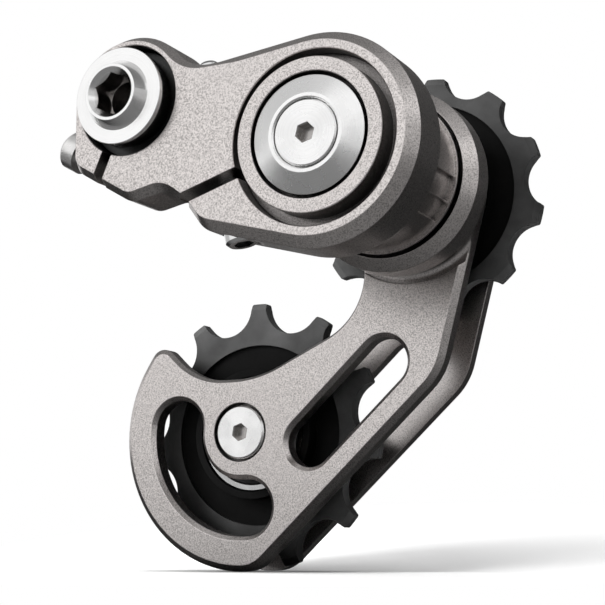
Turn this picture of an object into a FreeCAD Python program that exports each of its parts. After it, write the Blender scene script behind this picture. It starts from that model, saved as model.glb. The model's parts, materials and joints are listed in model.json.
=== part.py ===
import FreeCAD, Part
import math
import os

# A sprung bicycle chain tensioner, seen from its outboard side with the wheel behind it. An arm hangs on the
# frame's derailleur hanger, a spring housing is clamped in the arm's other end, and a cage with two toothed
# pulleys turns on the housing's axle. Millimetres, +X forward, +Y inboard along every axle, +Z up.
# The pieces are drawn with the pivot's axis at x = z = 0 and the arm's front face at y = 0, and are then
# moved so that the origin is on the hanger bolt's axis, in the plane where the bushing seats on the hanger.

# Places of the other axes, from the pivot's axis
HANGER_X = -35.16
HANGER_Z = 10.96
LOWER_X = -35.38
LOWER_Z = -42.8
UPPER_X = 0.0
UPPER_Z = 0.7

# Arm: one machined plate with a split clamp at each end
ARM_THICK = 10.66
ARM_BEVEL_DEPTH = 2.07
PIVOT_LOBE_R = 15.92
PIVOT_LOBE_BEVEL = 1.76
HANGER_LOBE_R = 10.4
ARM_BEVEL = 1.2
ARM_BACK_BREAK = 0.4
ARM_WAIST_Z = 14.45
ARM_WAIST_R = 18.0
ARM_SHOULDER_R = 8.9
EAR_SIDE = 13.79
EAR_FOOT = 16.03
EAR_CORNER_R = 2.5
EAR_TOE_R = 3.0
THROAT = 19.51
THROAT_R = 5.5
HEEL = 23.04
HEEL_R = 4.0
PIVOT_BORE_R = 14.4
HANGER_BORE_R = 9.62
BORE_BREAK = 0.15
SLIT_WIDTH = 2.0
SLIT_REACH = 12.0
HANGER_SLIT_ANGLE = 246.0
PIVOT_SLIT_ANGLE = 197.3
PINCH_Y = 5.3
BEYOND = 40.0

# Clearances
RUNNING = 0.04
CLOSE = 0.03
APART = 0.3
THREAD_GAP = 0.05

# Hanger bolt and bushing
FLANGE_R = 8.38
FLANGE_FRONT = -2.85
FLANGE_BAND = 0.92
FLANGE_BAND_STEP = 0.2
BOSS_ROOT_R = 6.0
BOSS_RIM_R = 4.88
BOSS_FRONT = -5.2
SOCKET_MOUTH_R = 4.36
HANGER_KEY = 6.5
HANGER_KEY_ANGLE = 36.0
HANGER_KEY_DEPTH = 5.4
SOCKET_CONE_DEPTH = 1.5
HANGER_THREAD_R = 5.0
HANGER_THREAD_LENGTH = 8.8
THREAD_RELIEF_R = 4.3
THREAD_RELIEF = 1.2
HANGER_HOLLOW_R = 3.2
THREAD_CHAMFER = 0.6
BUSHING_FRONT = 3.0
BUSHING_FLANGE_R = 11.2
BUSHING_FLANGE_THICK = 2.24

# Pinch bolts: head, shank, and where each stands along its own axis from the slit
HANGER_PINCH_OFFSET = 12.1
HANGER_PINCH_R = 2.0
HANGER_PINCH_HEAD_R = 3.4
HANGER_PINCH_HEAD = 3.2
HANGER_PINCH_SEAT = 8.3
HANGER_PINCH_TILT_ANGLE = 5.0
HANGER_PINCH_PAST = 5.0
HOUSING_PINCH_X = -17.3
HOUSING_PINCH_Z = -5.4
HOUSING_PINCH_ANGLE = 102.6
HOUSING_PINCH_R = 2.0
HOUSING_PINCH_HEAD_R = 2.9
HOUSING_PINCH_HEAD = 3.45
HOUSING_PINCH_SEAT = 6.4
HOUSING_PINCH_PAST = 22.9
SPOT_GAP = 0.3
PINCH_KEY = 3.0
PINCH_KEY_DEPTH = 2.2
PINCH_EDGE = 0.5

# Spring housing: nose, clamped band, drum and rear spigot
NOSE_FRONT = -1.51
NOSE_R = 12.7
NOSE_BORE_R = 10.31
NOSE_FLOOR = 2.5
NOSE_EDGE = 0.12
BAND_FRONT = 3.0
DRUM_R = 13.4
DRUM_STEP = 0.1
LIP_R = 14.0
LIP_WIDTH = 0.6
LIP_GAP = 0.7
SPIGOT_R = 12.6
HOUSING_BACK = 31.5
CHAMBER_R = 11.6
WEB_BACK = 6.5
HUB_R = 8.4
HUB_BORE_R = 7.2
POCKET_DEPTH = 0.8
POCKET_FRONT = 19.5
POCKET_ANGLES = (-17.0, -35.5)
POCKET_SPANS = (18.6, 15.6)

# Torsion spring in the chamber between housing and hub
WIRE_R = 0.9
COIL_R = 10.0
COIL_TURNS = 6
LEG_BEND_R = 1.6
LEG_BITE = 1.8

# Pivot axle, its two bushes and the end cap
AXLE_R = 6.0
AXLE_FLANGE_R = 8.2
AXLE_FLANGE_THICK = 2.4
AXLE_SPIGOT_R = 4.4
BUSH_FLANGE_R = 9.0
BUSH_FLANGE_THICK = 0.8
BUSH_LENGTH = 6.0
REAR_BUSH_FLANGE_R = 8.0
CAP_R = 9.69
CAP_EDGE_Y = -1.28
CAP_FLAT_R = 6.43
CAP_FRONT = -2.62
CAP_RECESS_R = 5.6
CAP_RECESS_DEPTH = 2.2
CAP_SCREW_HEAD_R = 5.45
M5_R = 2.5
M5_DEPTH = 14.0
M5_KEY = 3.0
M5_KEY_DEPTH = 1.9
HEAD_EDGE = 0.25

# Outer cage plate with the ring that surrounds the housing's back, turned from the same piece
RING_MOUTH_R = 14.5
RING_LAP = 2.6
RING_R = 16.6
RING_BEVEL = 2.1
RING_LENGTH = 7.3
RING_RECESS_R = 14.3
RECESS_GAP = 0.7
AXLE_POCKET_R = 8.6
NECK_R = 14.8
NECK_FILLET = 1.5
RELIEF_R = 17.17
RELIEF_DEPTH = 0.8
PLATE_STANDOFF = 8.8
PLATE_THICK = 3.6
PLATE_BEVEL = 1.15
UPPER_EDGE_BEVEL = 0.65
PLATE_BEVEL_DEPTH = 1.0
PLATE_BACK_BREAK = 0.25

# Outline of both cage plates at the outer plate's front face
PLATE_DISC_R = 12.5
FRONT_EDGE_ANGLE = -14.83
NECK_EDGE_ANGLE = 195.0
NECK_EDGE = 11.9
SADDLE_SLOPE = 7.09
SADDLE_SLOPE_ANGLE = 115.0
SADDLE_Z = -33.3
HORN_EDGE = -0.23
HORN_EDGE_ANGLE = 45.5
HOOK_X = -35.32
HOOK_Z = -43.16
HOOK_R = 24.45
HOOK_START = 147.0
HOOK_MIDDLE = 215.0
HOOK_END = 270.0
LOWER_EDGE = 27.09
LOWER_EDGE_ANGLE = 313.05
NECK_CURVE_R = 13.8
SADDLE_FRONT_R = 24.0
SADDLE_BACK_R = 15.3
HORN_TIP_R = 2.2
TOE_R = 6.4
KNEE_R = 11.0

# Windows in both cage plates; the outer plate's have a bevel that narrows them
WINDOW_BEVEL = 0.8
SLOT_LOW_X = -20.9
SLOT_LOW_Z = -45.2
SLOT_HIGH_X = -5.72
SLOT_HIGH_Z = -31.0
SLOT_R = 5.3
KIDNEY_R = 13.8
KIDNEY_CAP_R = 6.1
KIDNEY_START = 173.0
KIDNEY_END = 275.2

# Inner cage plate
CAGE_GAP = 10.0
INNER_THICK = 2.6
INNER_BREAK = 0.25
INNER_HOOK_SET_BACK = 2.6
INNER_HORN_R = 2.0
INNER_HEEL_R = 19.0

# Pulleys: eleven teeth each, the lower one's teeth are longer
TEETH = 11
TOOTH_THICK = 2.7
TIP_THICK = 1.7
TIP_BEVEL = 1.2
TIP_ROUND = 0.4
RIM_INNER_R = 17.4
WEB_THICK = 1.2
HUB_RING_R = 12.4
HUB_PROUD = 0.4
UPPER_TIP_R = 22.65
UPPER_ROOT_R = 19.35
UPPER_TIP_HALF_ANGLE = 4.6
UPPER_PHASE = 84.0
LOWER_TIP_R = 25.65
LOWER_ROOT_R = 20.4
LOWER_TIP_HALF_ANGLE = 3.6
LOWER_PHASE = 122.7

# Pulley bearings, 8 x 22 x 7
BEARING_R = 11.0
BEARING_BORE_R = 4.0
BEARING_WIDTH = 7.0
OUTER_RACE_THICK = 1.5
INNER_RACE_THICK = 2.05
GROOVE_DEPTH = 0.225
BALLS = 7
RACE_EDGE = 0.3
SHIELD_THICK = 0.35
SHIELD_IN = 0.15
SHIELD_GAP = 0.15

# Top-hat spacers and pulley bolts
SPACER_R = 5.5
SPACER_SPIGOT = 3.2
SPACER_BORE_GAP = 0.05
LOWER_HEAD_R = 5.1
LOWER_HEAD_SINK = 1.7
LOWER_RECESS_R = 5.6
LOWER_HEAD_EDGE = 0.35
UPPER_HEAD_R = 4.75
UPPER_HEAD = 2.5
UPPER_HEAD_EDGE = 0.9
UPPER_BOLT_BITE = 12.0
CAP_KEY_ANGLE = 15.0
LOWER_KEY_ANGLE = 20.0

PIVOT = (0.0, 0.0)
HANGER = (HANGER_X, HANGER_Z)
LOWER = (LOWER_X, LOWER_Z)
UPPER = (UPPER_X, UPPER_Z)
HOOK = (HOOK_X, HOOK_Z)
SLOT_LOW = (SLOT_LOW_X, SLOT_LOW_Z)
SLOT_HIGH = (SLOT_HIGH_X, SLOT_HIGH_Z)
SEAT_Y = ARM_THICK + APART + BUSHING_FLANGE_THICK
RING_FRONT = HOUSING_BACK - RING_LAP
RING_BEVEL_BACK = RING_FRONT + RING_BEVEL
RING_BACK = RING_FRONT + RING_LENGTH
RING_RECESS_FLOOR = HOUSING_BACK + RECESS_GAP
LIP_BACK = RING_FRONT - LIP_GAP
LIP_FRONT = LIP_BACK - LIP_WIDTH
PLATE_FRONT = HOUSING_BACK + PLATE_STANDOFF
CAGE_BACK = PLATE_FRONT + PLATE_THICK
INNER_FRONT = CAGE_BACK + CAGE_GAP
INNER_BACK = INNER_FRONT + INNER_THICK
MID_Y = CAGE_BACK + CAGE_GAP / 2
OUTER_RACE_R = BEARING_R - OUTER_RACE_THICK
INNER_RACE_R = BEARING_BORE_R + INNER_RACE_THICK
BALL_R = (OUTER_RACE_R - INNER_RACE_R) / 2 + GROOVE_DEPTH
BALL_PITCH_R = (OUTER_RACE_R + INNER_RACE_R) / 2
AXLE_FRONT = NOSE_FLOOR - BUSH_FLANGE_THICK - APART
AXLE_FLANGE_FRONT = HOUSING_BACK + BUSH_FLANGE_THICK + APART
AXLE_SEAT = AXLE_FLANGE_FRONT + AXLE_FLANGE_THICK
COIL_FRONT = WEB_BACK + LEG_BEND_R
COIL_LENGTH = RING_RECESS_FLOOR - LEG_BEND_R - COIL_FRONT
COIL_LEAD = math.atan(COIL_LENGTH / COIL_TURNS / (2 * math.pi * COIL_R))
LEG_SIDE = LEG_BEND_R * (1 - math.sin(COIL_LEAD))
FRONT_LEG = (COIL_R, LEG_SIDE)
REAR_LEG = (COIL_R, -LEG_SIDE)
BUSH_OUTER_R = HUB_BORE_R - CLOSE
BUSH_INNER_R = AXLE_R + RUNNING
AXIS_Y = FreeCAD.Vector(0, 1, 0)


def unit(degrees):
    return math.cos(math.radians(degrees)), math.sin(math.radians(degrees))


def polar(centre, radius, degrees):
    x, z = unit(degrees)
    return centre[0] + radius * x, centre[1] + radius * z


def space(point, y):
    return FreeCAD.Vector(point[0], y, point[1])


def placed(shape, centre):
    """A copy of a shape drawn about the pivot's axis, moved to another axis."""
    moved = shape.copy()
    moved.translate(FreeCAD.Vector(centre[0], 0, centre[1]))
    return moved


# Turned pieces

def turned(profile, centre=PIVOT):
    """Turns a closed profile about an axle. A pair is a corner (radius, y). Four numbers are an arc:
    a point that it passes through, then its end."""
    edges = []
    here = profile[0][-2:]
    for step in profile[1:] + profile[:1]:
        there = step[-2:]
        start = FreeCAD.Vector(here[0], here[1], 0)
        end = FreeCAD.Vector(there[0], there[1], 0)
        if len(step) == 4:
            edges.append(Part.Arc(start, FreeCAD.Vector(step[0], step[1], 0), end).toShape())
        elif start.distanceToPoint(end) > 1e-6:
            edges.append(Part.makeLine(start, end))
        here = there
    face = Part.Face(Part.Wire(edges))
    return placed(face.revolve(FreeCAD.Vector(0, 0, 0), AXIS_Y, 360), centre)


def rod(centre, radius, start, end):
    return Part.makeCylinder(radius, end - start, space(centre, start), AXIS_Y)


def hexagon(centre, across_flats, start, end, turn=0.0):
    corner_r = across_flats / math.sqrt(3)
    points = [space(polar(centre, corner_r, turn + 60 * i), start) for i in range(7)]
    return Part.Face(Part.makePolygon(points)).extrude(AXIS_Y * (end - start))


# Milled outlines

def tangent(centre, radius, degrees):
    """A line of an outline, radius away from a centre: its outward normal's angle and its distance
    from the pivot's axis."""
    x, z = unit(degrees)
    return degrees, centre[0] * x + centre[1] * z + radius


def crossing(first, second):
    ax, az = unit(first[0])
    bx, bz = unit(second[0])
    across = ax * bz - az * bx
    return (first[1] * bz - second[1] * az) / across, (ax * second[1] - bx * first[1]) / across


def turn_between(first, second):
    return (second[0] - first[0] + 180) % 360 - 180


def grown(lines, radii, by):
    """The same outline moved out by a width, or by one width for each line."""
    widths = by if isinstance(by, list) else [by] * len(lines)
    moved = [(line[0], line[1] + width) for line, width in zip(lines, widths)]
    bends = []
    for i, radius in enumerate(radii):
        width = min(widths[i], widths[(i + 1) % len(lines)])
        side = 1 if turn_between(lines[i], lines[(i + 1) % len(lines)]) > 0 else -1
        bends.append(radius + side * width if radius > 0 else 0.0)
    return moved, bends


def outline(lines, radii, y):
    """A closed wire round the lines, counter-clockwise; radii[i] rounds the corner after line i."""
    count = len(lines)
    bends = []
    for i in range(count):
        first = lines[i]
        second = lines[(i + 1) % count]
        turn = turn_between(first, second)
        corner = crossing(first, second)
        length = radii[i] * math.tan(math.radians(abs(turn) / 2))
        into = polar(corner, -length, first[0] + 90)
        out = polar(corner, length, second[0] + 90)
        side = 1 if turn > 0 else -1
        centre = polar(into, -side * radii[i], first[0])
        middle = polar(centre, side * radii[i], first[0] + turn / 2)
        bends.append((into, middle, out))
    edges = []
    for i in range(count):
        into, middle, out = bends[i]
        before = bends[i - 1][2]
        if math.dist(before, into) > 1e-6:
            edges.append(Part.makeLine(space(before, y), space(into, y)))
        if radii[i] > 0:
            edges.append(Part.Arc(space(into, y), space(middle, y), space(out, y)).toShape())
    return Part.Wire(edges)


def slab(wire, start, end):
    moved = wire.copy()
    moved.translate(FreeCAD.Vector(0, start, 0))
    return Part.Face(moved).extrude(AXIS_Y * (end - start))


def bevelled_plate(lines, radii, front, back, bevel, bevel_depth, back_break):
    """A plate whose outline grows over a front bevel, stays, and shrinks over a small back edge."""
    wall, wall_radii = grown(lines, radii, bevel)
    inner, inner_radii = grown(wall, wall_radii, -back_break)
    front_wire = outline(lines, radii, front)
    bevel_wire = outline(wall, wall_radii, front + bevel_depth)
    edge_wire = outline(wall, wall_radii, back - back_break)
    back_wire = outline(inner, inner_radii, back)
    plate = slab(outline(wall, wall_radii, 0.0), front + bevel_depth, back - back_break)
    if bevel_depth > 0:
        plate = plate.fuse(Part.makeLoft([front_wire, bevel_wire], True, True))
    plate = plate.fuse(Part.makeLoft([edge_wire, back_wire], True, True))
    return plate.removeSplitter()


# Arm

def arm_outline():
    lines = [
        tangent(PIVOT, PIVOT_LOBE_R, 0),
        tangent(PIVOT, PIVOT_LOBE_R, 96.5),
        tangent(PIVOT, ARM_WAIST_Z, 90),
        tangent(HANGER, HANGER_LOBE_R, 40.5),
        tangent(HANGER, HANGER_LOBE_R, 180),
        tangent(HANGER, EAR_SIDE, 239.4),
        tangent(HANGER, EAR_FOOT, 282.0),
        tangent(PIVOT, THROAT, 234.0),
        tangent(PIVOT, HEEL, 216.0),
        tangent(PIVOT, PIVOT_LOBE_R, 255.1),
    ]
    radii = [PIVOT_LOBE_R, ARM_WAIST_R, ARM_SHOULDER_R, HANGER_LOBE_R, EAR_CORNER_R,
             EAR_TOE_R, THROAT_R, 0.0, HEEL_R, PIVOT_LOBE_R]
    bevels = [PIVOT_LOBE_BEVEL] * 2 + [ARM_BEVEL] * 7 + [PIVOT_LOBE_BEVEL]
    return lines, radii, bevels


def slit(centre, degrees, start, end):
    """A straight cut through the arm, out from a bore."""
    blade = Part.makeBox(end - start, ARM_THICK + 2, SLIT_WIDTH)
    blade.translate(FreeCAD.Vector(start, -1, -SLIT_WIDTH / 2))
    blade.rotate(FreeCAD.Vector(0, 0, 0), AXIS_Y, -degrees)
    return placed(blade, centre)


def along(point, degrees, distance):
    """A place on a pinch bolt's axis."""
    return space(polar(point, distance, degrees), PINCH_Y)


def pinch_rod(point, degrees, radius, start, end):
    x, z = unit(degrees)
    return Part.makeCylinder(radius, end - start, along(point, degrees, start), FreeCAD.Vector(x, 0, z))


def pinch_bolt(point, degrees, radius, head_r, head, seat, past):
    """A cap screw whose head stands beyond the seat, against the screwing direction."""
    back = degrees + 180
    shank = pinch_rod(point, degrees, radius, -seat, past - THREAD_CHAMFER)
    cone_start = along(point, degrees, past - THREAD_CHAMFER)
    x, z = unit(degrees)
    tip = Part.makeCone(radius, radius - THREAD_CHAMFER, THREAD_CHAMFER, cone_start, FreeCAD.Vector(x, 0, z))
    rim_start = along(point, back, seat + head - PINCH_EDGE)
    bevel = Part.makeCone(head_r, head_r - PINCH_EDGE, PINCH_EDGE, rim_start, FreeCAD.Vector(-x, 0, -z))
    cap = pinch_rod(point, back, head_r, seat, seat + head - PINCH_EDGE).fuse(bevel)
    corner_r = PINCH_KEY / math.sqrt(3)
    ring = Part.makePolygon([FreeCAD.Vector(0, *polar((0, 0), corner_r, 60 * i)) for i in range(7)])
    key = Part.Face(ring).extrude(FreeCAD.Vector(PINCH_KEY_DEPTH, 0, 0))
    key.rotate(FreeCAD.Vector(0, 0, 0), AXIS_Y, -degrees)
    key.translate(along(point, back, seat + head))
    return shank.fuse([tip, cap]).removeSplitter().cut(key)


HANGER_PINCH = polar(HANGER, HANGER_PINCH_OFFSET, HANGER_SLIT_ANGLE)
HANGER_PINCH_ANGLE = HANGER_SLIT_ANGLE + 90 - HANGER_PINCH_TILT_ANGLE
HOUSING_PINCH = (HOUSING_PINCH_X, HOUSING_PINCH_Z)


def arm():
    lines, radii, bevels = arm_outline()
    body = bevelled_plate(lines, radii, 0.0, ARM_THICK, bevels, ARM_BEVEL_DEPTH, ARM_BACK_BREAK)
    for centre, radius in ((PIVOT, PIVOT_BORE_R), (HANGER, HANGER_BORE_R)):
        bore = [(0, -1), (radius + BORE_BREAK + 1, -1), (radius, BORE_BREAK), (radius, ARM_THICK + 1)]
        body = body.cut(turned(bore + [(0, ARM_THICK + 1)], centre))
    body = body.cut(slit(HANGER, HANGER_SLIT_ANGLE, HANGER_BORE_R - 1, HANGER_BORE_R + SLIT_REACH))
    body = body.cut(slit(PIVOT, PIVOT_SLIT_ANGLE, PIVOT_BORE_R - 1, PIVOT_BORE_R + SLIT_REACH))
    hole = HANGER_PINCH_R + THREAD_GAP
    body = body.cut(pinch_rod(HANGER_PINCH, HANGER_PINCH_ANGLE, hole, -BEYOND, HANGER_PINCH_PAST + APART))
    spot = HANGER_PINCH_HEAD_R + SPOT_GAP
    body = body.cut(pinch_rod(HANGER_PINCH, HANGER_PINCH_ANGLE, spot, -BEYOND, -HANGER_PINCH_SEAT))
    hole = HOUSING_PINCH_R + THREAD_GAP
    body = body.cut(pinch_rod(HOUSING_PINCH, HOUSING_PINCH_ANGLE, hole, -BEYOND, BEYOND))
    spot = HOUSING_PINCH_HEAD_R + SPOT_GAP
    body = body.cut(pinch_rod(HOUSING_PINCH, HOUSING_PINCH_ANGLE, spot, -BEYOND, -HOUSING_PINCH_SEAT))
    return body


def hanger_pinch_bolt():
    return pinch_bolt(HANGER_PINCH, HANGER_PINCH_ANGLE, HANGER_PINCH_R, HANGER_PINCH_HEAD_R,
                      HANGER_PINCH_HEAD, HANGER_PINCH_SEAT, HANGER_PINCH_PAST)


def housing_pinch_bolt():
    return pinch_bolt(HOUSING_PINCH, HOUSING_PINCH_ANGLE, HOUSING_PINCH_R, HOUSING_PINCH_HEAD_R,
                      HOUSING_PINCH_HEAD, HOUSING_PINCH_SEAT, HOUSING_PINCH_PAST)


# Hanger end

def hanger_bolt():
    """A hollow bolt: raised boss with a key socket, banded flange, shank and thread."""
    band_back = FLANGE_FRONT + FLANGE_BAND
    side_r = FLANGE_R - FLANGE_BAND_STEP
    end = SEAT_Y + HANGER_THREAD_LENGTH
    body = turned([
        (HANGER_HOLLOW_R, BOSS_FRONT + SOCKET_CONE_DEPTH),
        (SOCKET_MOUTH_R, BOSS_FRONT),
        (BOSS_RIM_R, BOSS_FRONT),
        (BOSS_ROOT_R, FLANGE_FRONT),
        (FLANGE_R - 0.08, FLANGE_FRONT),
        (FLANGE_R, FLANGE_FRONT + 0.08),
        (FLANGE_R, band_back),
        (side_r, band_back),
        (side_r, BUSHING_FRONT),
        (HANGER_THREAD_R, BUSHING_FRONT),
        (HANGER_THREAD_R, SEAT_Y - THREAD_RELIEF),
        (THREAD_RELIEF_R, SEAT_Y - THREAD_RELIEF),
        (THREAD_RELIEF_R, SEAT_Y),
        (HANGER_THREAD_R, SEAT_Y),
        (HANGER_THREAD_R, end - THREAD_CHAMFER),
        (HANGER_THREAD_R - THREAD_CHAMFER, end),
        (HANGER_HOLLOW_R, end),
    ], HANGER)
    deep = BOSS_FRONT + HANGER_KEY_DEPTH
    return body.cut(hexagon(HANGER, HANGER_KEY, BOSS_FRONT - 1, deep, HANGER_KEY_ANGLE))


def hanger_bushing():
    """The black sleeve that the arm's hanger clamp grips, with a flange behind the arm."""
    outer = HANGER_BORE_R - RUNNING
    inner = HANGER_THREAD_R + THREAD_GAP
    flange_front = ARM_THICK + APART
    return turned([
        (inner, BUSHING_FRONT),
        (outer - 0.3, BUSHING_FRONT),
        (outer, BUSHING_FRONT + 0.3),
        (outer, flange_front),
        (BUSHING_FLANGE_R, flange_front),
        (BUSHING_FLANGE_R, SEAT_Y - 0.4),
        (BUSHING_FLANGE_R - 0.4, SEAT_Y),
        (inner, SEAT_Y),
    ], HANGER)


# Spring housing and what it holds

def spring_housing():
    band_r = PIVOT_BORE_R - RUNNING
    band_back = ARM_THICK + DRUM_STEP
    body = turned([
        (HUB_BORE_R, NOSE_FLOOR),
        (NOSE_BORE_R, NOSE_FLOOR),
        (NOSE_BORE_R, NOSE_FRONT + NOSE_EDGE),
        (NOSE_BORE_R + NOSE_EDGE, NOSE_FRONT),
        (NOSE_R - NOSE_EDGE, NOSE_FRONT),
        (NOSE_R, NOSE_FRONT + NOSE_EDGE),
        (NOSE_R, BAND_FRONT),
        (band_r, BAND_FRONT),
        (band_r, band_back),
        (DRUM_R, band_back),
        (DRUM_R, LIP_FRONT),
        (LIP_R, LIP_FRONT),
        (LIP_R, LIP_BACK),
        (SPIGOT_R, LIP_BACK),
        (SPIGOT_R, HOUSING_BACK),
        (CHAMBER_R, HOUSING_BACK),
        (CHAMBER_R, WEB_BACK),
        (HUB_R, WEB_BACK),
        (HUB_R, HOUSING_BACK),
        (HUB_BORE_R, HOUSING_BACK),
    ])
    for middle, span in zip(POCKET_ANGLES, POCKET_SPANS):
        body = body.cut(drum_pocket(middle, span))
    return body.cut(rod(FRONT_LEG, WIRE_R + 0.1, WEB_BACK - LEG_BITE - APART, WEB_BACK + 1))


def drum_pocket(middle, span):
    """A shallow key pocket sunk into the drum over an angle."""
    section = Part.Face(Part.makePolygon([
        FreeCAD.Vector(DRUM_R - POCKET_DEPTH, POCKET_FRONT, 0),
        FreeCAD.Vector(DRUM_R + 1, POCKET_FRONT, 0),
        FreeCAD.Vector(DRUM_R + 1, LIP_FRONT, 0),
        FreeCAD.Vector(DRUM_R - POCKET_DEPTH, LIP_FRONT, 0),
        FreeCAD.Vector(DRUM_R - POCKET_DEPTH, POCKET_FRONT, 0),
    ]))
    pocket = section.revolve(FreeCAD.Vector(0, 0, 0), AXIS_Y, span)
    pocket.rotate(FreeCAD.Vector(0, 0, 0), AXIS_Y, -middle - span / 2)
    return pocket


def front_bush():
    return turned([
        (BUSH_INNER_R, NOSE_FLOOR - BUSH_FLANGE_THICK),
        (BUSH_FLANGE_R, NOSE_FLOOR - BUSH_FLANGE_THICK),
        (BUSH_FLANGE_R, NOSE_FLOOR),
        (BUSH_OUTER_R, NOSE_FLOOR),
        (BUSH_OUTER_R, NOSE_FLOOR + BUSH_LENGTH),
        (BUSH_INNER_R, NOSE_FLOOR + BUSH_LENGTH),
    ])


def rear_bush():
    return turned([
        (BUSH_INNER_R, HOUSING_BACK - BUSH_LENGTH),
        (BUSH_OUTER_R, HOUSING_BACK - BUSH_LENGTH),
        (BUSH_OUTER_R, HOUSING_BACK),
        (REAR_BUSH_FLANGE_R, HOUSING_BACK),
        (REAR_BUSH_FLANGE_R, HOUSING_BACK + BUSH_FLANGE_THICK),
        (BUSH_INNER_R, HOUSING_BACK + BUSH_FLANGE_THICK),
    ])


def torsion_spring():
    """A wire coil whose ends bend over into a leg each, one in the housing's web and one in the cage."""
    helix = Part.makeLongHelix(COIL_LENGTH / COIL_TURNS, COIL_LENGTH, COIL_R, 0)
    helix.rotate(FreeCAD.Vector(0, 0, 0), FreeCAD.Vector(1, 0, 0), -90)
    helix.translate(FreeCAD.Vector(0, COIL_FRONT, 0))
    first = helix.Edges[0]
    last = helix.Edges[-1]
    start = first.valueAt(first.FirstParameter)
    end = last.valueAt(last.LastParameter)
    out_front = first.tangentAt(first.FirstParameter) * -1
    out_rear = last.tangentAt(last.LastParameter)
    coil = Part.Wire(helix.Edges).makePipeShell([wire_section(start, out_front)], True, True)
    front_leg = spring_leg(start, out_front, AXIS_Y * -1, COIL_FRONT - WEB_BACK + LEG_BITE)
    rear_leg = spring_leg(end, out_rear, AXIS_Y, LEG_BEND_R + LEG_BITE)
    return coil.fuse([front_leg, rear_leg])


def wire_section(point, heading):
    return Part.Wire(Part.makeCircle(WIRE_R, point, heading))


def spring_leg(point, heading, direction, reach):
    """A bend out of the coil and a straight end along the axle; reach is how far it goes in all."""
    side = direction - heading * direction.dot(heading)
    side.normalize()
    turn = math.acos(direction.dot(heading))
    ahead = heading * LEG_BEND_R
    aside = side * LEG_BEND_R
    middle = point + ahead * math.sin(turn / 2) + aside * (1 - math.cos(turn / 2))
    bent = point + ahead * math.sin(turn) + aside * (1 - math.cos(turn))
    tip = bent + direction * (reach - (bent - point).dot(direction))
    path = Part.Wire([Part.Arc(point, middle, bent).toShape(), Part.makeLine(bent, tip)])
    return path.makePipeShell([wire_section(point, heading)], True, True)


def pivot_axle():
    """The shaft between cap and cage, with a blind thread at each end; the rear one is the pulley bolt's."""
    end = CAGE_BACK - APART
    thread_end = CAP_FRONT + CAP_RECESS_DEPTH + M5_DEPTH + APART
    body = turned([
        (0, thread_end),
        (M5_R + THREAD_GAP, thread_end),
        (M5_R + THREAD_GAP, AXLE_FRONT),
        (AXLE_R - 0.3, AXLE_FRONT),
        (AXLE_R, AXLE_FRONT + 0.3),
        (AXLE_R, AXLE_FLANGE_FRONT),
        (AXLE_FLANGE_R, AXLE_FLANGE_FRONT),
        (AXLE_FLANGE_R, AXLE_SEAT),
        (AXLE_SPIGOT_R, AXLE_SEAT),
        (AXLE_SPIGOT_R, end),
        (0, end),
    ])
    return body.cut(rod(UPPER, M5_R + THREAD_GAP, CAGE_BACK - UPPER_BOLT_BITE - APART, end + 1))


def end_cap():
    return turned([
        (M5_R + 0.1, AXLE_FRONT),
        (CAP_R, AXLE_FRONT),
        (CAP_R, CAP_EDGE_Y),
        (CAP_FLAT_R, CAP_FRONT),
        (CAP_RECESS_R + HEAD_EDGE, CAP_FRONT),
        (CAP_RECESS_R, CAP_FRONT + HEAD_EDGE),
        (CAP_RECESS_R, CAP_FRONT + CAP_RECESS_DEPTH),
        (M5_R + 0.1, CAP_FRONT + CAP_RECESS_DEPTH),
    ])


def cap_screw():
    seat = CAP_FRONT + CAP_RECESS_DEPTH
    body = turned([
        (0, CAP_FRONT),
        (CAP_SCREW_HEAD_R - HEAD_EDGE, CAP_FRONT),
        (CAP_SCREW_HEAD_R, CAP_FRONT + HEAD_EDGE),
        (CAP_SCREW_HEAD_R, seat),
        (M5_R, seat),
        (M5_R, seat + M5_DEPTH),
        (0, seat + M5_DEPTH),
    ])
    deep = CAP_FRONT + M5_KEY_DEPTH
    return body.cut(hexagon(PIVOT, M5_KEY, CAP_FRONT - 1, deep, CAP_KEY_ANGLE))


# Cage

def plate_outline():
    lines = [
        tangent(PIVOT, PLATE_DISC_R, FRONT_EDGE_ANGLE),
        tangent(PIVOT, PLATE_DISC_R, 90),
        tangent(PIVOT, NECK_EDGE, NECK_EDGE_ANGLE),
        tangent(LOWER, SADDLE_SLOPE, SADDLE_SLOPE_ANGLE),
        tangent(PIVOT, SADDLE_Z, 90),
        tangent(LOWER, HORN_EDGE, HORN_EDGE_ANGLE),
        tangent(HOOK, HOOK_R, HOOK_START),
        tangent(HOOK, HOOK_R, HOOK_MIDDLE),
        tangent(HOOK, HOOK_R, HOOK_END),
        tangent(PIVOT, LOWER_EDGE, LOWER_EDGE_ANGLE),
    ]
    radii = [PLATE_DISC_R, NECK_EDGE, NECK_CURVE_R, SADDLE_FRONT_R, SADDLE_BACK_R,
             HORN_TIP_R, HOOK_R, HOOK_R, TOE_R, KNEE_R]
    bevels = [PLATE_BEVEL] * 2 + [UPPER_EDGE_BEVEL] * 4 + [PLATE_BEVEL] * 4
    return lines, radii, bevels


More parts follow.
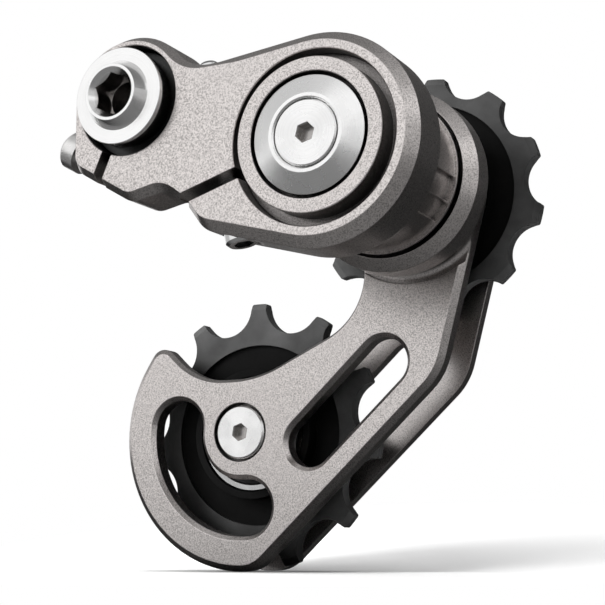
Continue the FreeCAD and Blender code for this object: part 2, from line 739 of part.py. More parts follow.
def slot_wire(radius, y):
    angle = math.degrees(math.atan2(SLOT_HIGH[1] - SLOT_LOW[1], SLOT_HIGH[0] - SLOT_LOW[0]))
    low_right = space(polar(SLOT_LOW, radius, angle - 90), y)
    high_right = space(polar(SLOT_HIGH, radius, angle - 90), y)
    high_left = space(polar(SLOT_HIGH, radius, angle + 90), y)
    low_left = space(polar(SLOT_LOW, radius, angle + 90), y)
    high_end = space(polar(SLOT_HIGH, radius, angle), y)
    low_end = space(polar(SLOT_LOW, radius, angle + 180), y)
    return Part.Wire([
        Part.makeLine(low_right, high_right),
        Part.Arc(high_right, high_end, high_left).toShape(),
        Part.makeLine(high_left, low_left),
        Part.Arc(low_left, low_end, low_right).toShape(),
    ])


def kidney_wire(radius, y):
    """A curved slot that runs with the hook's outline, round the lower bolt; radius is its ends'."""
    outer = KIDNEY_R + radius
    inner = KIDNEY_R - radius
    middle = (KIDNEY_START + KIDNEY_END) / 2
    outer_start = space(polar(HOOK, outer, KIDNEY_START), y)
    outer_middle = space(polar(HOOK, outer, middle), y)
    outer_end = space(polar(HOOK, outer, KIDNEY_END), y)
    inner_start = space(polar(HOOK, inner, KIDNEY_START), y)
    inner_middle = space(polar(HOOK, inner, middle), y)
    inner_end = space(polar(HOOK, inner, KIDNEY_END), y)
    first_end = space(polar(polar(HOOK, KIDNEY_R, KIDNEY_START), radius, KIDNEY_START - 90), y)
    last_end = space(polar(polar(HOOK, KIDNEY_R, KIDNEY_END), radius, KIDNEY_END + 90), y)
    return Part.Wire([
        Part.Arc(outer_start, outer_middle, outer_end).toShape(),
        Part.Arc(outer_end, last_end, inner_end).toShape(),
        Part.Arc(inner_end, inner_middle, inner_start).toShape(),
        Part.Arc(inner_start, first_end, outer_start).toShape(),
    ])


def window(wire, front_r, front, back, bevel):
    """What a window takes away: a straight hole, narrower than the front edge by a bevel's width."""
    through_r = front_r - bevel
    hole = slab(wire(through_r, 0.0), front - 1, back + 1)
    if bevel > 0:
        edges = [wire(front_r, front), wire(through_r, front + bevel)]
        hole = hole.fuse(Part.makeLoft(edges, True, True))
    return hole


def outer_cage_plate():
    """The outboard plate. Its ring is turned from the same piece, on a neck trimmed to the plate's edge."""
    lines, radii, bevels = plate_outline()
    plate = bevelled_plate(lines, radii, PLATE_FRONT, CAGE_BACK, bevels, PLATE_BEVEL_DEPTH, PLATE_BACK_BREAK)
    floor = PLATE_FRONT + RELIEF_DEPTH
    relief = turned([(0, PLATE_FRONT - 1), (RELIEF_R, PLATE_FRONT - 1), (RELIEF_R, floor), (0, floor)])
    bend = NECK_FILLET * (1 - math.cos(math.pi / 4))
    neck = turned([
        (0, RING_BACK - 0.5),
        (NECK_R, RING_BACK - 0.5),
        (NECK_R, floor - NECK_FILLET),
        (NECK_R + bend, floor - bend, NECK_R + NECK_FILLET, floor),
        (NECK_R + NECK_FILLET, floor + 0.5),
        (0, floor + 0.5),
    ])
    wall, wall_radii = grown(lines, radii, bevels)
    neck = neck.common(slab(outline(wall, wall_radii, 0.0), RING_BACK - 0.5, floor + 0.5))
    ring = turned([
        (0, RING_RECESS_FLOOR),
        (RING_RECESS_R, RING_RECESS_FLOOR),
        (RING_RECESS_R, RING_FRONT + 0.2),
        (RING_MOUTH_R, RING_FRONT),
        (RING_R, RING_BEVEL_BACK),
        (RING_R, RING_BACK - 0.4),
        (RING_R - 0.4, RING_BACK),
        (0, RING_BACK),
    ])
    body = plate.cut(relief).fuse([neck, ring]).removeSplitter()
    body = body.cut(rod(PIVOT, AXLE_POCKET_R, RING_RECESS_FLOOR - 1, AXLE_SEAT))
    body = body.cut(rod(PIVOT, AXLE_SPIGOT_R + CLOSE, AXLE_SEAT - 1, CAGE_BACK + 1))
    body = body.cut(rod(REAR_LEG, WIRE_R + 0.1, RING_RECESS_FLOOR - 1, RING_RECESS_FLOOR + LEG_BITE + APART))
    body = body.cut(window(slot_wire, SLOT_R, PLATE_FRONT, CAGE_BACK, WINDOW_BEVEL))
    body = body.cut(window(kidney_wire, KIDNEY_CAP_R, PLATE_FRONT, CAGE_BACK, WINDOW_BEVEL))
    body = body.cut(rod(LOWER, LOWER_RECESS_R, PLATE_FRONT - 1, PLATE_FRONT + LOWER_HEAD_SINK))
    return body.cut(rod(LOWER, M5_R + 0.1, PLATE_FRONT, CAGE_BACK + 1))


def inner_outline():
    """The outer plate's wall, with the back of the hook set in."""
    lines, radii, bevels = plate_outline()
    wall, wall_radii = grown(lines, radii, bevels)
    lines, radii = grown(wall, wall_radii, [0.0] * 6 + [-INNER_HOOK_SET_BACK] * 2 + [0.0] * 2)
    radii[5] = INNER_HORN_R
    radii[7] = INNER_HEEL_R
    return lines, radii


def inner_cage_plate():
    lines, radii = inner_outline()
    body = bevelled_plate(lines, radii, INNER_FRONT, INNER_BACK, 0.0, 0.0, INNER_BREAK)
    body = body.cut(window(slot_wire, SLOT_R, INNER_FRONT, INNER_BACK, 0.0))
    body = body.cut(window(kidney_wire, KIDNEY_CAP_R, INNER_FRONT, INNER_BACK, 0.0))
    body = body.cut(rod(LOWER, M5_R + THREAD_GAP, INNER_FRONT - 1, INNER_BACK + 1))
    return body.cut(rod(UPPER, M5_R + 0.1, INNER_FRONT - 1, INNER_BACK + 1))


def lower_pulley_bolt():
    """Flush cheese-head bolt from the front, threaded into the inner plate."""
    seat = PLATE_FRONT + LOWER_HEAD_SINK
    end = INNER_BACK + 0.4
    body = turned([
        (0, PLATE_FRONT),
        (LOWER_HEAD_R - LOWER_HEAD_EDGE, PLATE_FRONT),
        (LOWER_HEAD_R, PLATE_FRONT + LOWER_HEAD_EDGE),
        (LOWER_HEAD_R, seat),
        (M5_R, seat),
        (M5_R, end - 0.4),
        (M5_R - 0.4, end),
        (0, end),
    ], LOWER)
    deep = PLATE_FRONT + M5_KEY_DEPTH
    return body.cut(hexagon(LOWER, M5_KEY, PLATE_FRONT - 1, deep, LOWER_KEY_ANGLE))


def upper_pulley_bolt():
    """Button-head bolt from behind that clamps plates, spacers and bearing against the axle's flange."""
    head_back = INNER_BACK + UPPER_HEAD
    start = CAGE_BACK - UPPER_BOLT_BITE
    body = turned([
        (0, start),
        (M5_R - 0.4, start),
        (M5_R, start + 0.4),
        (M5_R, INNER_BACK),
        (UPPER_HEAD_R, INNER_BACK),
        (UPPER_HEAD_R, head_back - UPPER_HEAD_EDGE),
        (UPPER_HEAD_R - 0.26 * UPPER_HEAD_EDGE, head_back - 0.26 * UPPER_HEAD_EDGE,
         UPPER_HEAD_R - UPPER_HEAD_EDGE, head_back),
        (0, head_back),
    ], UPPER)
    return body.cut(hexagon(UPPER, M5_KEY, head_back - M5_KEY_DEPTH, head_back + 1))


# Pulleys and their bearings, drawn about the pivot's axis and moved to their own

def pulley(tip_r, root_r, tip_half_angle, phase, centre):
    half_width = TOOTH_THICK / 2
    hub_half = BEARING_WIDTH / 2 + HUB_PROUD
    bore = BEARING_R + CLOSE
    blank = turned([
        (bore, MID_Y - hub_half),
        (HUB_RING_R, MID_Y - hub_half),
        (HUB_RING_R, MID_Y - WEB_THICK / 2),
        (RIM_INNER_R, MID_Y - WEB_THICK / 2),
        (RIM_INNER_R, MID_Y - half_width),
        (tip_r - TIP_BEVEL, MID_Y - half_width),
        (tip_r, MID_Y - TIP_THICK / 2),
        (tip_r, MID_Y + TIP_THICK / 2),
        (tip_r - TIP_BEVEL, MID_Y + half_width),
        (RIM_INNER_R, MID_Y + half_width),
        (RIM_INNER_R, MID_Y + WEB_THICK / 2),
        (HUB_RING_R, MID_Y + WEB_THICK / 2),
        (HUB_RING_R, MID_Y + hub_half),
        (bore, MID_Y + hub_half),
    ])
    pitch = 360 / TEETH
    reach = pitch / 2 - tip_half_angle
    half_chord = tip_r * math.sin(math.radians(reach))
    rise = tip_r * math.cos(math.radians(reach)) - root_r
    valley_r = (half_chord ** 2 + rise ** 2) / (2 * rise)
    valleys = []
    for i in range(TEETH):
        middle = polar(PIVOT, root_r + valley_r, phase + (i + 0.5) * pitch)
        valleys.append(rod(middle, valley_r, MID_Y - half_width - 1, MID_Y + half_width + 1))
    toothed = blank.cut(valleys)
    corners = [edge for edge in toothed.Edges if is_tip_corner(edge, tip_r)]
    return placed(toothed.makeFillet(TIP_ROUND, corners), centre)


def is_tip_corner(edge, tip_r):
    """An edge that runs straight across a tooth's tip, along the axle."""
    ends = [vertex.Point for vertex in edge.Vertexes]
    if len(ends) != 2:
        return False
    run = ends[1] - ends[0]
    at_tip = all(abs(math.hypot(end.x, end.z) - tip_r) < 0.01 for end in ends)
    return at_tip and abs(run.y) > 0.9 * TIP_THICK and math.hypot(run.x, run.z) < 0.01


def race_groove():
    return Part.makeTorus(BALL_PITCH_R, BALL_R + RUNNING, FreeCAD.Vector(0, MID_Y, 0), AXIS_Y)


def bearing_race(inner_r, outer_r, centre):
    front = MID_Y - BEARING_WIDTH / 2
    back = MID_Y + BEARING_WIDTH / 2
    ring = turned([
        (inner_r, front + RACE_EDGE),
        (inner_r + RACE_EDGE, front),
        (outer_r - RACE_EDGE, front),
        (outer_r, front + RACE_EDGE),
        (outer_r, back - RACE_EDGE),
        (outer_r - RACE_EDGE, back),
        (inner_r + RACE_EDGE, back),
        (inner_r, back - RACE_EDGE),
    ])
    return placed(ring.cut(race_groove()), centre)


def bearing_balls(centre):
    balls = []
    for i in range(BALLS):
        balls.append(Part.makeSphere(BALL_R, space(polar(PIVOT, BALL_PITCH_R, 360 / BALLS * i), MID_Y)))
    return placed(Part.makeCompound(balls), centre)


def bearing_shield(side, centre):
    """A thin disc that closes the bearing's front (side -1) or back (side 1)."""
    outside = MID_Y + side * (BEARING_WIDTH / 2 - SHIELD_IN)
    inside = outside - side * SHIELD_THICK
    low, high = min(outside, inside), max(outside, inside)
    inner = INNER_RACE_R + SHIELD_GAP
    outer = OUTER_RACE_R - CLOSE
    return turned([(inner, low), (outer, low), (outer, high), (inner, high)], centre)


def top_hat_spacer(side, centre):
    """A spacer whose spigot centres the bearing on its bolt; side -1 is the front one."""
    face = MID_Y + side * CAGE_GAP / 2
    shoulder = MID_Y + side * BEARING_WIDTH / 2
    tip = shoulder - side * SPACER_SPIGOT
    bore = M5_R + SPACER_BORE_GAP
    spigot = BEARING_BORE_R - CLOSE
    return turned([(bore, face), (SPACER_R, face), (SPACER_R, shoulder), (spigot, shoulder),
                   (spigot, tip), (bore, tip)], centre)


def all_pieces():
    pieces = {
        "hanger_bolt": hanger_bolt(),
        "hanger_bushing": hanger_bushing(),
        "arm": arm(),
        "hanger_pinch_bolt": hanger_pinch_bolt(),
        "housing_pinch_bolt": housing_pinch_bolt(),
        "spring_housing": spring_housing(),
        "front_bush": front_bush(),
        "rear_bush": rear_bush(),
        "torsion_spring": torsion_spring(),
        "pivot_axle": pivot_axle(),
        "end_cap": end_cap(),
        "cap_screw": cap_screw(),
        "outer_cage_plate": outer_cage_plate(),
        "inner_cage_plate": inner_cage_plate(),
        "upper_pulley_bolt": upper_pulley_bolt(),
        "lower_pulley_bolt": lower_pulley_bolt(),
        "upper_pulley": pulley(UPPER_TIP_R, UPPER_ROOT_R, UPPER_TIP_HALF_ANGLE, UPPER_PHASE, UPPER),
        "lower_pulley": pulley(LOWER_TIP_R, LOWER_ROOT_R, LOWER_TIP_HALF_ANGLE, LOWER_PHASE, LOWER),
    }
    for name, centre in (("upper", UPPER), ("lower", LOWER)):
        pieces[name + "_outer_race"] = bearing_race(OUTER_RACE_R, BEARING_R, centre)
        pieces[name + "_inner_race"] = bearing_race(BEARING_BORE_R, INNER_RACE_R, centre)
        pieces[name + "_bearing_balls"] = bearing_balls(centre)
        pieces[name + "_front_shield"] = bearing_shield(-1, centre)
        pieces[name + "_rear_shield"] = bearing_shield(1, centre)
        pieces[name + "_front_spacer"] = top_hat_spacer(-1, centre)
        pieces[name + "_rear_spacer"] = top_hat_spacer(1, centre)
    return pieces


os.makedirs("parts", exist_ok=True)
for name, shape in all_pieces().items():
    shape.translate(FreeCAD.Vector(-HANGER_X, -SEAT_Y, -HANGER_Z))
    shape.exportStep("parts/" + name + ".step")
    print(name, len(shape.Solids), shape.isValid(), round(shape.Volume, 2))
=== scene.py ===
import json
import math

import bpy
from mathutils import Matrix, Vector


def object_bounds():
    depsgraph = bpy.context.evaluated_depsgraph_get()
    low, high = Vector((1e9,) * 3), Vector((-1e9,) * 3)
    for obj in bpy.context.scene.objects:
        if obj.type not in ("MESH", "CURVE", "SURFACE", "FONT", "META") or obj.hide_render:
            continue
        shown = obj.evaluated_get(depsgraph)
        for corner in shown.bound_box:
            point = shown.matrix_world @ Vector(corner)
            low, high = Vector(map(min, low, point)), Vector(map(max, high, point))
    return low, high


# Looks of a sprung bicycle chain tensioner. Metres, in the CAD's frame: the hanger bolt's axis is the
# origin, +X forward, +Y inboard along every axle, +Z up. The outboard side faces -Y.

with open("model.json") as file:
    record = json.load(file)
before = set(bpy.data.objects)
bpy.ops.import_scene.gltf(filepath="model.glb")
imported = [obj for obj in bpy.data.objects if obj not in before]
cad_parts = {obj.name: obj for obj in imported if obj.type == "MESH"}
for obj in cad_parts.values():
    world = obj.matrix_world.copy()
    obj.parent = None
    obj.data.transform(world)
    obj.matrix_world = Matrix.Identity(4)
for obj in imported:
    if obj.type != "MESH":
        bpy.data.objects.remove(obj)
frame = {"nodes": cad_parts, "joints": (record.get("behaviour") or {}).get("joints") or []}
CAD_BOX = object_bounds()
NODES = frame["nodes"]

# Camera, fitted to the photograph; angles in degrees, lens and sensor in millimetres
CAMERA_AT = (0.13180, -0.20758, -0.07379)
CAMERA_AZIMUTH = 26.83
CAMERA_ELEVATION = -9.47
LENS = 84.59
SENSOR_WIDTH = 36.0
NEAR_CLIP = 0.01

# Axes of the object
JOINTS = {joint["name"]: Vector(joint["pos_m"]) for joint in frame["joints"]}
HANGER = Vector((0.0, 0.0, 0.0))
PIVOT = JOINTS["cage_pivot"]
UPPER = JOINTS["upper_pulley_spin"]
LOWER = JOINTS["lower_pulley_spin"]

# Noise in surfaces, in cells per metre
BLAST_GRAIN, BLAST_PATCH = 4200, 70
TURNED_SMUDGE = 260
PLATED_SMUDGE, PLATED_SCRATCH = 320, 3200
PLASTIC_CLOUD, PLASTIC_GRAIN = 140, 2400

# Rings about an axle, in cells per millimetre of radius
TURNED_RINGS, TOOL_MARKS = 9.0, 5.0

# Radius to which each kind of edge is softened
BLASTED_EDGE, TURNED_EDGE, PLASTIC_EDGE = 0.00022, 0.00012, 0.00018

# How far from the next surface painted shade starts to darken a gap
METAL_GAP, PLASTIC_GAP, FLOOR_GAP = 0.0045, 0.012, 0.02

# Depth of relief under full strength
GRAIN_RELIEF, RING_RELIEF, THREAD_RELIEF = 0.00004, 0.00002, 0.0008

# In millimetres: the hanger thread's pitch and where it fades in behind the hanger's face, and the
# radius on a pulley beyond which it is coloured paler
THREAD_PITCH, THREAD_FADE = 1.0, 0.4
RIM_R = 17.4

# Colours
METAL = (0.84, 0.792, 0.773, 1.0)
# Painted shade for the inside of a key socket
SOCKET_SHADE = (0.20, 0.17, 0.15, 1.0)
BUSH = (0.30, 0.29, 0.25, 1.0)


def grey(value, warmth=0.0):
    return (value * (1 + warmth), value, value * (1 - warmth), 1.0)


def shaded(colour, factor):
    return tuple(c * factor for c in colour[:3]) + (1.0,)


WHITE = grey(1.0)
POLISHED = grey(0.965, 0.003)
RIM_PALER = grey(0.080)


# Node helpers

def make_node(tree, kind, inputs=None, **settings):
    """A shader node; each input is a socket to link or a value to set."""
    node = tree.nodes.new(kind)
    for name, value in settings.items():
        setattr(node, name, value)
    for name, value in (inputs or {}).items():
        socket = node.inputs[name]
        if isinstance(value, bpy.types.NodeSocket):
            tree.links.new(value, socket)
        else:
            socket.default_value = value
    return node


def new_material(name):
    material = bpy.data.materials.new(name)
    material.use_nodes = True
    tree = material.node_tree
    return material, tree, tree.nodes["Principled BSDF"]


def object_coordinates(tree):
    return make_node(tree, "ShaderNodeTexCoord").outputs["Object"]


def noise(tree, coordinates, scale, detail=2.0, roughness=0.5):
    inputs = {"Vector": coordinates, "Scale": scale, "Detail": detail, "Roughness": roughness}
    return make_node(tree, "ShaderNodeTexNoise", inputs).outputs["Fac"]


def span(tree, value, low, high, to_low, to_high):
    """Maps low..high of a value to another range, with both ends held."""
    inputs = {"Value": value, "From Min": low, "From Max": high, "To Min": to_low, "To Max": to_high}
    return make_node(tree, "ShaderNodeMapRange", inputs).outputs["Result"]


def blend_colours(tree, factor, first, second):
    colours = {0: factor, 6: first, 7: second}
    return make_node(tree, "ShaderNodeMix", colours, data_type="RGBA").outputs[2]


def blend_shaders(tree, factor, first, second):
    return make_node(tree, "ShaderNodeMixShader", {0: factor, 1: first, 2: second}).outputs[0]


def math_node(tree, operation, first, second):
    return make_node(tree, "ShaderNodeMath", {0: first, 1: second}, operation=operation).outputs[0]


def vector_math(tree, operation, *values):
    return make_node(tree, "ShaderNodeVectorMath", dict(enumerate(values)), operation=operation).outputs


def along_y(tree, where):
    return make_node(tree, "ShaderNodeSeparateXYZ", {"Vector": where}).outputs["Y"]


def bump(tree, height, strength, distance, normal=None):
    inputs = {"Height": height, "Strength": strength, "Distance": distance}
    if normal is not None:
        inputs["Normal"] = normal
    return make_node(tree, "ShaderNodeBump", inputs).outputs["Normal"]


def emission(tree, level):
    return make_node(tree, "ShaderNodeEmission", {"Color": WHITE, "Strength": level}).outputs[0]


def beside_axle(tree, where, centre):
    """Distance from an axle through centre, and the place along it, in millimetres."""
    moved = vector_math(tree, "ADD", where, (-centre[0], 0.0, -centre[2]))[0]
    across = vector_math(tree, "MULTIPLY", moved, (1000.0, 0.0, 1000.0))[0]
    radius = vector_math(tree, "LENGTH", across)["Value"]
    return radius, math_node(tree, "MULTIPLY", along_y(tree, where), 1000.0)


def soft_normal(tree, radius):
    """The normal, rounded over sharp edges."""
    return make_node(tree, "ShaderNodeBevel", {"Radius": radius}, samples=6).outputs["Normal"]


def along_edges(tree, soft):
    """1 where the soft normal leaves the surface's own, at its edges."""
    straight = make_node(tree, "ShaderNodeNewGeometry").outputs["Normal"]
    alike = vector_math(tree, "DOT_PRODUCT", soft, straight)["Value"]
    return span(tree, alike, 0.90, 0.995, 1.0, 0.0)


def openness(tree, reach):
    """1 on an outer face, towards 0 deep in a gap or slit."""
    return make_node(tree, "ShaderNodeAmbientOcclusion", {"Distance": reach}, samples=8).outputs["AO"]


# Materials

def blasted_metal(name, light, rough):
    """Bead-blasted aluminium: a fine grain of dark pits, darker patches, paler edges that are partly wear
    and partly a painted highlight, and painted shade in gaps.
    """
    material, tree, shader = new_material(name)
    where = object_coordinates(tree)
    grain = noise(tree, where, BLAST_GRAIN, roughness=0.8)
    patch = noise(tree, where, BLAST_PATCH, detail=3.0)
    normal = soft_normal(tree, BLASTED_EDGE)
    pits = span(tree, grain, 0.34, 0.57, 0.95, 0.0)
    patches = span(tree, patch, 0.40, 0.70, 0.0, 0.35)
    # Paler edges, partly wear and partly a painted highlight where the edges catch the light.
    paler_mask = math_node(tree, "MULTIPLY", along_edges(tree, normal), 0.35)
    # Painted shade: darker deep in gaps and slits.
    painted_gap_shade = span(tree, openness(tree, METAL_GAP), 0.16, 0.60, 0.97, 0.0)
    colour = light
    for where_it_is, shade in ((pits, 0.36), (patches, 0.84), (paler_mask, 1.30), (painted_gap_shade, 0.02)):
        colour = blend_colours(tree, where_it_is, colour, shaded(light, shade))
    tree.links.new(colour, shader.inputs["Base Color"])
    tree.links.new(span(tree, grain, 0.3, 0.7, rough + 0.05, rough - 0.05), shader.inputs["Roughness"])
    shader.inputs["Metallic"].default_value = 1.0
    tree.links.new(bump(tree, grain, 0.12, GRAIN_RELIEF, normal), shader.inputs["Normal"])
    return material


def turned_steel(name, rough, centre, socket_r, socket_y, thread=False):
    """Lathe-turned polished steel: fine rings about the axle, smudges, and painted shade darkening the key
    socket. The socket is what lies within socket_r of the axle behind socket_y, in millimetres."""
    material, tree, shader = new_material(name)
    where = object_coordinates(tree)
    radius, depth = beside_axle(tree, where, centre)
    line = make_node(tree, "ShaderNodeCombineXYZ", {"X": radius, "Y": depth})
    rings = noise(tree, line.outputs[0], TURNED_RINGS, detail=1.0)
    smudge = noise(tree, where, TURNED_SMUDGE, detail=3.0)
    shade = math_node(tree, "MULTIPLY", span(tree, rings, 0.35, 0.65, 0.0, 0.5),
                      span(tree, smudge, 0.3, 0.7, 0.3, 1.0))
    base_colour = blend_colours(tree, shade, POLISHED, shaded(POLISHED, 0.86))
    # Painted shade darkens the inside of the key socket.
    inside = math_node(tree, "MULTIPLY", span(tree, radius, socket_r, socket_r + 0.15, 1.0, 0.0),
                       span(tree, depth, socket_y, socket_y + 0.8, 0.0, 1.0))
    base_colour = blend_colours(tree, math_node(tree, "MULTIPLY", inside, 0.60), base_colour, SOCKET_SHADE)
    tree.links.new(base_colour, shader.inputs["Base Color"])
    tree.links.new(span(tree, smudge, 0.35, 0.7, rough * 0.85, rough * 1.25), shader.inputs["Roughness"])
    shader.inputs["Metallic"].default_value = 1.0
    shader.inputs["Anisotropic"].default_value = 0.5
    tangent = make_node(tree, "ShaderNodeTangent", direction_type="RADIAL", axis="Y")
    tree.links.new(tangent.outputs[0], shader.inputs["Tangent"])
    normal = bump(tree, rings, 0.10, RING_RELIEF, soft_normal(tree, TURNED_EDGE))
    if thread:
        groove = math_node(tree, "MULTIPLY", math_node(tree, "PINGPONG", depth, THREAD_PITCH / 2),
                           span(tree, depth, 0.0, THREAD_FADE, 0.0, 1.0))
        normal = bump(tree, groove, 1.0, THREAD_RELIEF, normal)
    tree.links.new(normal, shader.inputs["Normal"])
    return material


def plain_steel(name, colour, rough):
    """Plated or ground steel with faint scratches."""
    material, tree, shader = new_material(name)
    where = object_coordinates(tree)
    smudge = noise(tree, where, PLATED_SMUDGE, detail=4.0)
    scratch = noise(tree, where, PLATED_SCRATCH)
    base_colour = blend_colours(tree, span(tree, smudge, 0.35, 0.75, 0.0, 0.7), colour, shaded(colour, 0.75))
    tree.links.new(base_colour, shader.inputs["Base Color"])
    tree.links.new(span(tree, smudge, 0.3, 0.7, rough * 0.8, rough * 1.3), shader.inputs["Roughness"])
    shader.inputs["Metallic"].default_value = 1.0
    tree.links.new(bump(tree, scratch, 0.10, RING_RELIEF), shader.inputs["Normal"])
    return material


def plastic(name, colour, rough, centre, gloss=0.5, rim_r=0.0):
    """Machined acetal, or another dielectric: slight cloud, tool marks about the axle, and painted shade in
    gaps.
    Beyond rim_r, in millimetres, the surface is coloured paler."""
    material, tree, shader = new_material(name)
    where = object_coordinates(tree)
    radius, _ = beside_axle(tree, where, centre)
    cloud = noise(tree, where, PLASTIC_CLOUD, detail=4.0)
    grain = noise(tree, where, PLASTIC_GRAIN, detail=3.0)
    base_colour = blend_colours(tree, span(tree, cloud, 0.35, 0.75, 0.0, 0.8), colour, shaded(colour, 1.9))
    if rim_r:
        paler_mask = math_node(tree, "MULTIPLY", span(tree, radius, rim_r - 0.1, rim_r + 0.1, 0.0, 1.0),
                         span(tree, cloud, 0.3, 0.7, 0.5, 1.0))
        base_colour = blend_colours(tree, paler_mask, base_colour, RIM_PALER)
    # Painted shade: darker deep in gaps and slits.
    painted_gap_shade = span(tree, openness(tree, PLASTIC_GAP), 0.25, 0.80, 0.9, 0.0)
    base_colour = blend_colours(tree, painted_gap_shade, base_colour, shaded(colour, 0.3))
    tree.links.new(base_colour, shader.inputs["Base Color"])
    tree.links.new(span(tree, grain, 0.3, 0.7, rough - 0.05, rough + 0.08), shader.inputs["Roughness"])
    shader.inputs["Specular IOR Level"].default_value = gloss
    line = make_node(tree, "ShaderNodeCombineXYZ", {"X": radius})
    marks = noise(tree, line.outputs[0], TOOL_MARKS, detail=1.0)
    height = math_node(tree, "ADD", math_node(tree, "MULTIPLY", marks, 0.6),
                       math_node(tree, "MULTIPLY", grain, 0.4))
    normal = bump(tree, height, 0.15, GRAIN_RELIEF, soft_normal(tree, PLASTIC_EDGE))
    tree.links.new(normal, shader.inputs["Normal"])
    return material


def dress(names, material):
    for name in names:
        slots = NODES[name].data.materials
        slots.clear()
        slots.append(material)


def of_both(*endings):
    """The nodes of both pulleys with these endings."""
    return [which + ending for which in ("upper", "lower") for ending in endings]


def dress_object():
    dress(["arm", "spring_housing", "outer_cage_plate", "inner_cage_plate"]
          + of_both("_front_spacer", "_rear_spacer"), blasted_metal("blasted_grey", METAL, 0.31))
    dress(["hanger_bolt"], turned_steel("turned_steel_hanger", 0.20, HANGER, 3.8, -17.6, thread=True))
    dress(["end_cap", "cap_screw"], turned_steel("turned_steel_cap", 0.26, PIVOT, 1.75, -15.7))
    dress(["upper_pulley_bolt"], turned_steel("turned_steel_upper", 0.22, UPPER, 0.5, 60.0))
    dress(["lower_pulley_bolt"], turned_steel("turned_steel_lower", 0.24, LOWER, 1.75, 27.2))
    dress(["housing_pinch_bolt"], plain_steel("chrome", grey(0.80), 0.12))
    dress(["hanger_pinch_bolt"], plain_steel("satin_steel", grey(0.85, 0.01), 0.30))
    dress(of_both("_outer_race", "_inner_race"), plain_steel("ground_steel", grey(0.62), 0.22))
    dress(of_both("_bearing_balls"), plain_steel("ball_steel", grey(0.75), 0.08))
    dress(["torsion_spring"], plain_steel("oiled_spring_steel", grey(0.34), 0.30))
    dress(["pivot_axle"], plain_steel("axle_steel", grey(0.60), 0.20))
    dress(["hanger_bushing"], plastic("black_anodised", grey(0.010), 0.32, HANGER))
    dress(["front_bush", "rear_bush"], plastic("bush_plastic", BUSH, 0.5, PIVOT))
    for which, centre in (("upper", UPPER), ("lower", LOWER)):
        dress([which + "_front_shield", which + "_rear_shield"],
              plastic("seal_rubber_" + which, grey(0.014), 0.6, centre))
        dress([which + "_pulley"],
              plastic("acetal_" + which, grey(0.004), 0.42, centre, gloss=0.07, rim_r=RIM_R))


# Studio

FLOOR_Z = CAD_BOX[0].z - 0.00005
FLOOR_HALF = 3.0
SWEEP_FROM, SWEEP_TO, SWEEP_RISE = 0.048, 0.26, 0.034
PAPER, SHADED_PAPER, PAPER_GLOW = 0.82, 0.12, 0.12
FADE_CENTRE_Y, FADE_FROM, FADE_TO = 0.045, 0.035, 0.10
MIRROR_REACH = 0.6
MIRROR_FRONT, MIRROR_BACK, MIRROR_TURN = 0.20, 0.03, 0.02
ROOM_LEVEL = 0.17


def build_world():
    """A white backdrop for the camera, mirrors and glass, and a dimmer room for all other light."""
    world = bpy.data.worlds.new("studio")
    bpy.context.scene.world = world
    world.use_nodes = True
    tree = world.node_tree
    tree.nodes.clear()
    room = make_node(tree, "ShaderNodeBackground", {"Color": WHITE, "Strength": ROOM_LEVEL})
    backdrop = make_node(tree, "ShaderNodeBackground", {"Color": WHITE, "Strength": 1.0})
    path = make_node(tree, "ShaderNodeLightPath").outputs
    seen = math_node(tree, "MAXIMUM", path["Is Camera Ray"], path["Is Glossy Ray"])
    seen = math_node(tree, "MAXIMUM", seen, path["Is Transmission Ray"])
    output = make_node(tree, "ShaderNodeOutputWorld")
    tree.links.new(blend_shaders(tree, seen, room.outputs[0], backdrop.outputs[0]), output.inputs["Surface"])


def sheet(name, corners, faces=((0, 1, 2, 3),)):
    mesh = bpy.data.meshes.new(name)
    mesh.from_pydata(corners, [], faces)
    piece = bpy.data.objects.new(name, mesh)
    bpy.context.scene.collection.objects.link(piece)
    return piece


def stage_material(name):
    """A material whose surface is still to be linked to the socket that comes with it."""
    material, tree, shader = new_material(name)
    tree.nodes.remove(shader)
    return material, tree, tree.nodes["Material Output"].inputs["Surface"]


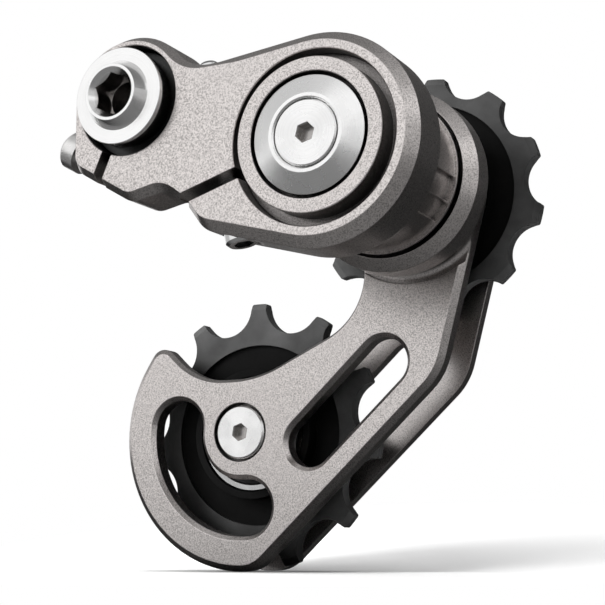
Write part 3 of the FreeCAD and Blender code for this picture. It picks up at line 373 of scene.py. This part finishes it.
def build_floor():
    """Pale paper, flat under the object and rising gently behind it. It keeps the shadow near the object,
    with a painted contact shadow where the object nears it, runs out into white, shows a set dark level in
    mirrors as a painted reflection, and is clear from below."""
    rows = ((-FLOOR_HALF, 0.0), (SWEEP_FROM, 0.0), (SWEEP_TO, SWEEP_RISE), (FLOOR_HALF, SWEEP_RISE))
    corners = [(x, y, FLOOR_Z + rise) for y, rise in rows for x in (-FLOOR_HALF, FLOOR_HALF)]
    floor = sheet("floor", corners, [(2 * i, 2 * i + 1, 2 * i + 3, 2 * i + 2) for i in range(3)])
    material, tree, surface = stage_material("floor_paper")
    where = object_coordinates(tree)
    path = make_node(tree, "ShaderNodeLightPath").outputs

    # Painted contact shadow: the paper darkens where the object comes near it.
    painted_contact_shadow = span(tree, openness(tree, FLOOR_GAP), 0.45, 0.98, 0.85, 0.0)
    colour = blend_colours(tree, painted_contact_shadow, grey(PAPER), grey(SHADED_PAPER))
    paper = make_node(tree, "ShaderNodeBsdfDiffuse", {"Color": colour}).outputs[0]
    near = make_node(tree, "ShaderNodeAddShader", {0: paper, 1: emission(tree, PAPER_GLOW)}).outputs[0]

    moved = vector_math(tree, "ADD", where, (0.0, -FADE_CENTRE_Y, 0.0))[0]
    flat = vector_math(tree, "MULTIPLY", moved, (1.0, 1.0, 0.0))[0]
    distance = vector_math(tree, "LENGTH", flat)["Value"]
    far = span(tree, distance, FADE_FROM, FADE_TO, 0.0, 1.0)
    seen = blend_shaders(tree, far, near, emission(tree, 1.0))

    # In mirrors the paper glows at a set level instead of showing its own lit colour, a painted reflection:
    # brighter in front, darker behind.
    level = span(tree, along_y(tree, where), -MIRROR_TURN, MIRROR_TURN, MIRROR_FRONT, MIRROR_BACK)
    within = math_node(tree, "LESS_THAN", distance, MIRROR_REACH)
    mirrored = math_node(tree, "MULTIPLY", path["Is Glossy Ray"], within)
    unseen = blend_shaders(tree, mirrored, paper, emission(tree, level))

    from_below = make_node(tree, "ShaderNodeNewGeometry").outputs["Backfacing"]
    below = math_node(tree, "MULTIPLY", path["Is Camera Ray"], from_below)
    clear = make_node(tree, "ShaderNodeBsdfTransparent").outputs[0]
    above = blend_shaders(tree, path["Is Camera Ray"], unseen, seen)
    tree.links.new(blend_shaders(tree, below, above, clear), surface)
    floor.data.materials.append(material)


def flag(name, corners, level):
    """A card beside the object that glows at a set grey level, seen only in mirror-like metal and casting no
    shadow: a painted reflection of the studio around it.
    """
    card = sheet(name, corners)
    material, tree, surface = stage_material(name + "_cloth")
    reflected_glow = make_node(tree, "ShaderNodeEmission", {"Color": grey(level), "Strength": 1.0})
    tree.links.new(reflected_glow.outputs[0], surface)
    card.data.materials.append(material)
    card.visible_camera = False
    card.visible_shadow = False
    card.visible_diffuse = False


def lying(x_low, x_high, y_low, y_high, z):
    return [(x_low, y_low, z), (x_high, y_low, z), (x_high, y_high, z), (x_low, y_high, z)]


def standing(start, end, z_low, z_high):
    return [(*start, z_low), (*end, z_low), (*end, z_high), (*start, z_high)]


def build_flags():
    foot = FLOOR_Z + 0.0005
    top = 0.22
    back, sill = 0.30, -0.02
    side = 0.6
    corner = -0.04
    flag("flag_top", lying(-0.9, 0.9, 0.0, 0.9, top), 0.18)
    flag("flag_over", lying(-0.5, 0.3, -0.18, 0.0, top), 0.58)
    flag("flag_back", standing((-0.2, back), (side, back), sill, top), 0.05)
    flag("flag_back_low", standing((corner, back), (side, back), foot, sill), 0.03)
    flag("flag_back_left", standing((-0.4, back), (corner, back), foot, sill), 0.45)
    flag("flag_right", standing((side, -back), (side, back), foot, top), 0.50)
    flag("flag_left", standing((-side, -0.25), (-side, back), foot, 0.30), 0.60)
    flag("flag_front", standing((0.26, -0.55), (0.46, -0.42), -0.05, 0.20), 0.35)


def lamp(name, place, target, size, power):
    """A square soft light, which mirrors don't show."""
    light = bpy.data.lights.new(name, "AREA")
    light.shape = "SQUARE"
    light.size = size
    light.energy = power
    piece = bpy.data.objects.new(name, light)
    piece.location = place
    piece.rotation_mode = "QUATERNION"
    piece.rotation_quaternion = (Vector(target) - Vector(place)).to_track_quat("-Z", "Y")
    piece.visible_glossy = False
    bpy.context.scene.collection.objects.link(piece)


def build_camera():
    azimuth = math.radians(CAMERA_AZIMUTH)
    elevation = math.radians(CAMERA_ELEVATION)
    back = Vector((math.sin(azimuth) * math.cos(elevation), -math.cos(azimuth) * math.cos(elevation),
                   math.sin(elevation)))
    data = bpy.data.cameras.new("camera")
    data.lens = LENS
    data.sensor_width = SENSOR_WIDTH
    data.clip_start = NEAR_CLIP
    camera = bpy.data.objects.new("camera", data)
    camera.location = CAMERA_AT
    camera.rotation_mode = "QUATERNION"
    camera.rotation_quaternion = (-back).to_track_quat("-Z", "Y")
    bpy.context.scene.collection.objects.link(camera)
    bpy.context.scene.camera = camera


dress_object()
build_world()
build_floor()
build_flags()
lamp("key", (-0.42, -0.36, 0.22), (0.03, 0.02, -0.03), 0.25, 7.5)
lamp("overhead", (0.0, 0.06, 0.45), (0.02, 0.06, -0.08), 0.40, 1.8)
build_camera()
bpy.context.scene.view_settings.view_transform = "Standard"
